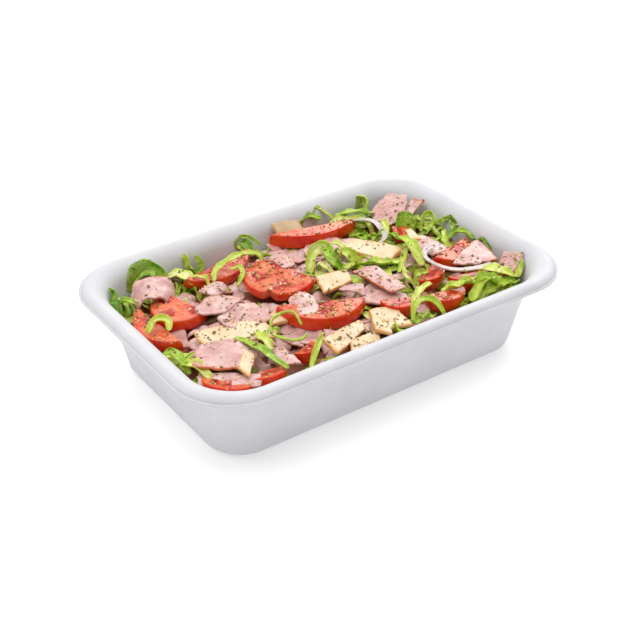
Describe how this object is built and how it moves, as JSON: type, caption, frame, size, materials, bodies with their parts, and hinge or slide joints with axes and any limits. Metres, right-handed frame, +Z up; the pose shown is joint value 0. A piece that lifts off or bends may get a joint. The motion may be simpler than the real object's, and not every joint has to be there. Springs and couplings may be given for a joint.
{
  "type": "takeaway tray of ham and cheese salad",
  "caption": "Moulded-fibre takeaway tray, filled with shredded lettuce under tomato slices and wedges, torn ham, cheese pieces and onion strips.",
  "frame": {"origin": "middle of the tray's base, on the surface that the tray stands on", "axes": "+X along the tray's long side, +Y along its short side, +Z up"},
  "size_m": [0.23, 0.154, 0.051],
  "materials": {
    "fibre": "matt moulded plant fibre, bleached white",
    "lettuce": "moist leaf, half gloss",
    "tomato": "wet flesh and smooth skin",
    "ham": "moist cut meat",
    "cheese": "smooth, slightly oily",
    "onion": "wet and a little translucent"
  },
  "bodies": {
    "root": {"tomato_left": "tomato", "tomato_back_left": "tomato", "tomato_right": "tomato", "tomato_small_right": "tomato", "tomato_front_left": "tomato", "tomato_front_low": "tomato", "tomato_small_front": "tomato", "ham_back": "ham", "ham_back_side": "ham", "ham_left_low": "ham", "ham_under_slice": "ham", "cheese_back": "cheese", "tomato_gel": "tomato", "tomato_back": "tomato", "tomato_right_chunk": "tomato", "tomato_right_low": "tomato", "tomato_chunk_left": "tomato", "tomato_chunk_right": "tomato", "cheese_left": "cheese", "cheese_middle": "cheese", "cheese_front_right": "cheese", "cheese_front_low": "cheese", "ham_arch": "ham", "ham_right": "ham", "ham_tall": "ham", "ham_tall_side": "ham", "ham_corner": "ham", "ham_strip": "ham", "ham_front_small": "ham", "ham_pile_left": "ham", "tomato_centre": "tomato", "tomato_front": "tomato", "cheese_centre": "cheese", "cheese_right": "cheese", "cheese_front": "cheese", "cheese_front_left": "cheese", "cheese_chip": "cheese", "ham_oval": "ham", "ham_roll": "ham", "ham_left": "ham", "ham_middle": "ham", "ham_slice": "ham", "ham_fold": "ham", "ham_triangle": "ham", "cheese_sliver": "cheese", "onion_arc": "onion", "onion_ring": "onion", "salad_bed": "lettuce", "tray": "fibre"}
  },
  "joints": []
}
